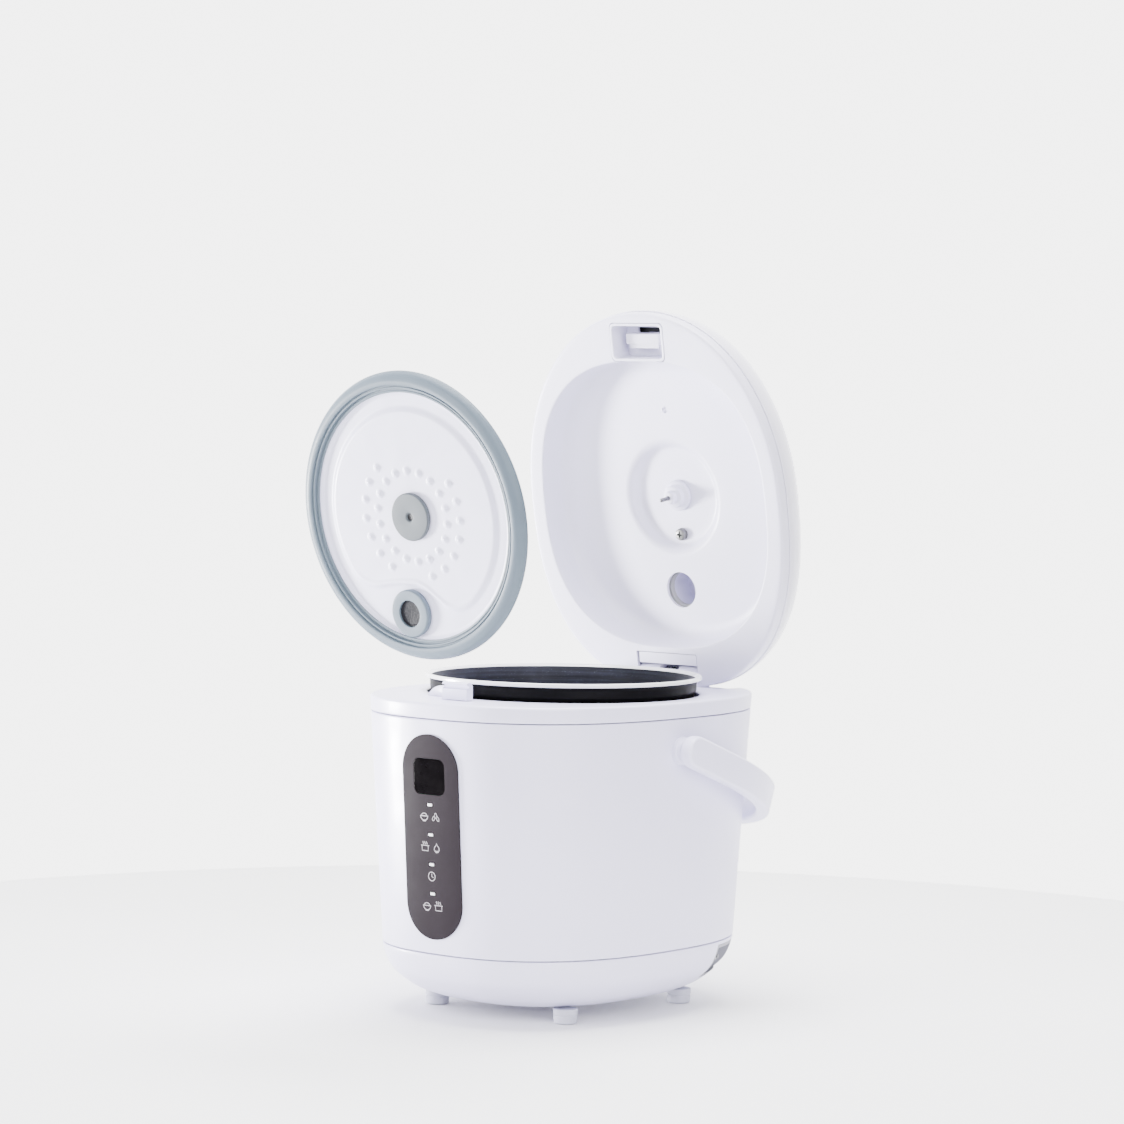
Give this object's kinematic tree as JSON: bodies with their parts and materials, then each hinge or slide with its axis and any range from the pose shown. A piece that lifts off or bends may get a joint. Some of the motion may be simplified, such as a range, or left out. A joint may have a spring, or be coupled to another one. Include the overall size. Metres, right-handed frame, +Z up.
{
  "type": "rice cooker",
  "caption": "Small electric rice cooker with an open hinged lid, lift-out pot, removable inner lid with silicone seal, front touch panel and carrying handle.",
  "frame": {"origin": "on the table, under the middle of the whole stored pose (lid open, inner lid held out in front, handle lying back)", "axes": "+Z up, the control panel faces -Y, +X is to the right seen from the front"},
  "size_m": [0.2032, 0.2893, 0.3927],
  "materials": {
    "body_white": "gloss",
    "lid_white": "gloss",
    "liner_white": "satin",
    "foot_rubber": "matte",
    "plated_steel": "satin",
    "heater_metal": "cast",
    "spring_steel": "bright",
    "ceramic_white": "matte",
    "circuit_board": "satin",
    "display_black": "gloss",
    "panel_grey": "satin",
    "socket_grey": "matte",
    "pin_steel": "bright",
    "pot_coating": "satin non-stick coating",
    "button_grey": "satin",
    "inner_lid_white": "satin",
    "silicone_grey": "satin",
    "strainer_dark": "matte",
    "light_white": "diffusing",
    "key_white": "matte"
  },
  "bodies": {
    "body": {"outer_shell": "body_white", "top_collar": "body_white", "base_cup": "body_white", "foot_front_left": "foot_rubber", "foot_front_right": "foot_rubber", "foot_rear_left": "foot_rubber", "foot_rear_right": "foot_rubber", "support_frame": "plated_steel", "inner_sleeve": "plated_steel", "heater_plate": "heater_metal", "sensor_spring": "spring_steel", "thermal_fuse": "ceramic_white", "power_board": "circuit_board", "display_module": "display_black", "control_board": "circuit_board", "panel_overlay": "panel_grey", "display_window": "display_black", "inlet_socket": "socket_grey", "inlet_pin_left": "pin_steel", "inlet_pin_right": "pin_steel", "latch_catch": "body_white", "hinge_bracket": "body_white", "hinge_pin": "pin_steel", "hinge_spring": "spring_steel", "base_screw_left": "pin_steel", "base_screw_right": "pin_steel", "handle_pin_left": "pin_steel", "handle_pin_right": "pin_steel", "light_guide_1": "light_white", "light_guide_2": "light_white", "light_guide_3": "light_white", "light_guide_4": "light_white"},
    "lid": {"lid_outer_shell": "lid_white", "lid_liner": "liner_white", "recess_pan": "liner_white", "latch_pocket": "liner_white", "steam_tube": "button_grey", "hinge_cover": "liner_white", "centre_post": "liner_white", "post_pin": "pin_steel", "well_screw": "pin_steel", "button_spring": "spring_steel"},
    "steam_cap": {"steam_cap": "lid_white"},
    "latch": {"latch_bar": "liner_white"},
    "release_button": {"release_button": "button_grey"},
    "grommet": {"inner_lid_grommet": "silicone_grey"},
    "inner_lid": {"inner_lid_disc": "inner_lid_white", "inner_lid_gasket": "silicone_grey", "vent_seal": "silicone_grey", "vent_strainer": "strainer_dark"},
    "pot": {"inner_pot": "pot_coating"},
    "handle": {"carry_handle": "body_white"},
    "sensor": {"sensor_cap": "heater_metal"},
    "key_1": {"key_plunger_1": "key_white"},
    "key_2": {"key_plunger_2": "key_white"},
    "key_3": {"key_plunger_3": "key_white"},
    "key_4": {"key_plunger_4": "key_white"}
  },
  "joints": [
    {"name": "lid_hinge", "type": "hinge", "parent": "body", "child": "lid", "pos_m": [0, 0.1119, 0.1821], "axis": [-1, 0, 0], "range_deg": [-80, 0], "stiffness_Nm_per_rad": 0.13, "springref_deg": 52.71},
    {"name": "pot_lift", "type": "slide", "parent": "body", "child": "pot", "axis": [0, 0, 1], "range_m": [0, 0.112]},
    {"name": "handle_swing", "type": "hinge", "parent": "body", "child": "handle", "pos_m": [0, 0.0087, 0.1495], "axis": [1, 0, 0], "range_deg": [0, 30]},
    {"name": "inner_lid_fit", "type": "slide", "parent": "body", "child": "grommet", "axis": [-0.0584, 0.998, 0.023], "range_m": [0, 0.23048]},
    {"name": "inner_lid_turn", "type": "hinge", "parent": "grommet", "child": "inner_lid", "pos_m": [0.01345, -0.1282, 0.2783], "axis": [0, -0.9848, -0.1736], "range_deg": [0, 8.5], "stiffness_Nm_per_rad": 0.05, "springref_deg": -3.44},
    {"name": "steam_cap_pull", "type": "slide", "parent": "lid", "child": "steam_cap", "axis": [0, 0.9848, 0.1736], "range_m": [0, 0.03]},
    {"name": "button_press", "type": "slide", "parent": "lid", "child": "release_button", "axis": [0, -0.9848, -0.1736], "range_m": [0, 0.003], "stiffness_N_per_m": 400, "springref_m": -0.002, "deforming": ["button_spring"]},
    {"name": "latch_slide", "type": "slide", "parent": "lid", "child": "latch", "axis": [0, -0.1736, 0.9848], "range_m": [0, 0.0025]},
    {"name": "sensor_press", "type": "slide", "parent": "body", "child": "sensor", "axis": [0, 0, 1], "range_m": [-0.002, 0], "stiffness_N_per_m": 300, "springref_m": 0.002, "deforming": ["sensor_spring"]},
    {"name": "key_press_1", "type": "slide", "parent": "body", "child": "key_1", "axis": [0, 0.9976, 0.0688], "range_m": [0, 0.0004], "stiffness_N_per_m": 800, "springref_m": -0.0002},
    {"name": "key_press_2", "type": "slide", "parent": "body", "child": "key_2", "axis": [0, 0.9976, 0.0688], "range_m": [0, 0.0004], "stiffness_N_per_m": 800, "springref_m": -0.0002},
    {"name": "key_press_3", "type": "slide", "parent": "body", "child": "key_3", "axis": [0, 0.9976, 0.0688], "range_m": [0, 0.0004], "stiffness_N_per_m": 800, "springref_m": -0.0002},
    {"name": "key_press_4", "type": "slide", "parent": "body", "child": "key_4", "axis": [0, 0.9976, 0.0688], "range_m": [0, 0.0004], "stiffness_N_per_m": 800, "springref_m": -0.0002}
  ],
  "couplings": [
    {"joint": "latch_slide", "follows": "button_press", "ratio": 0.83333}
  ]
}
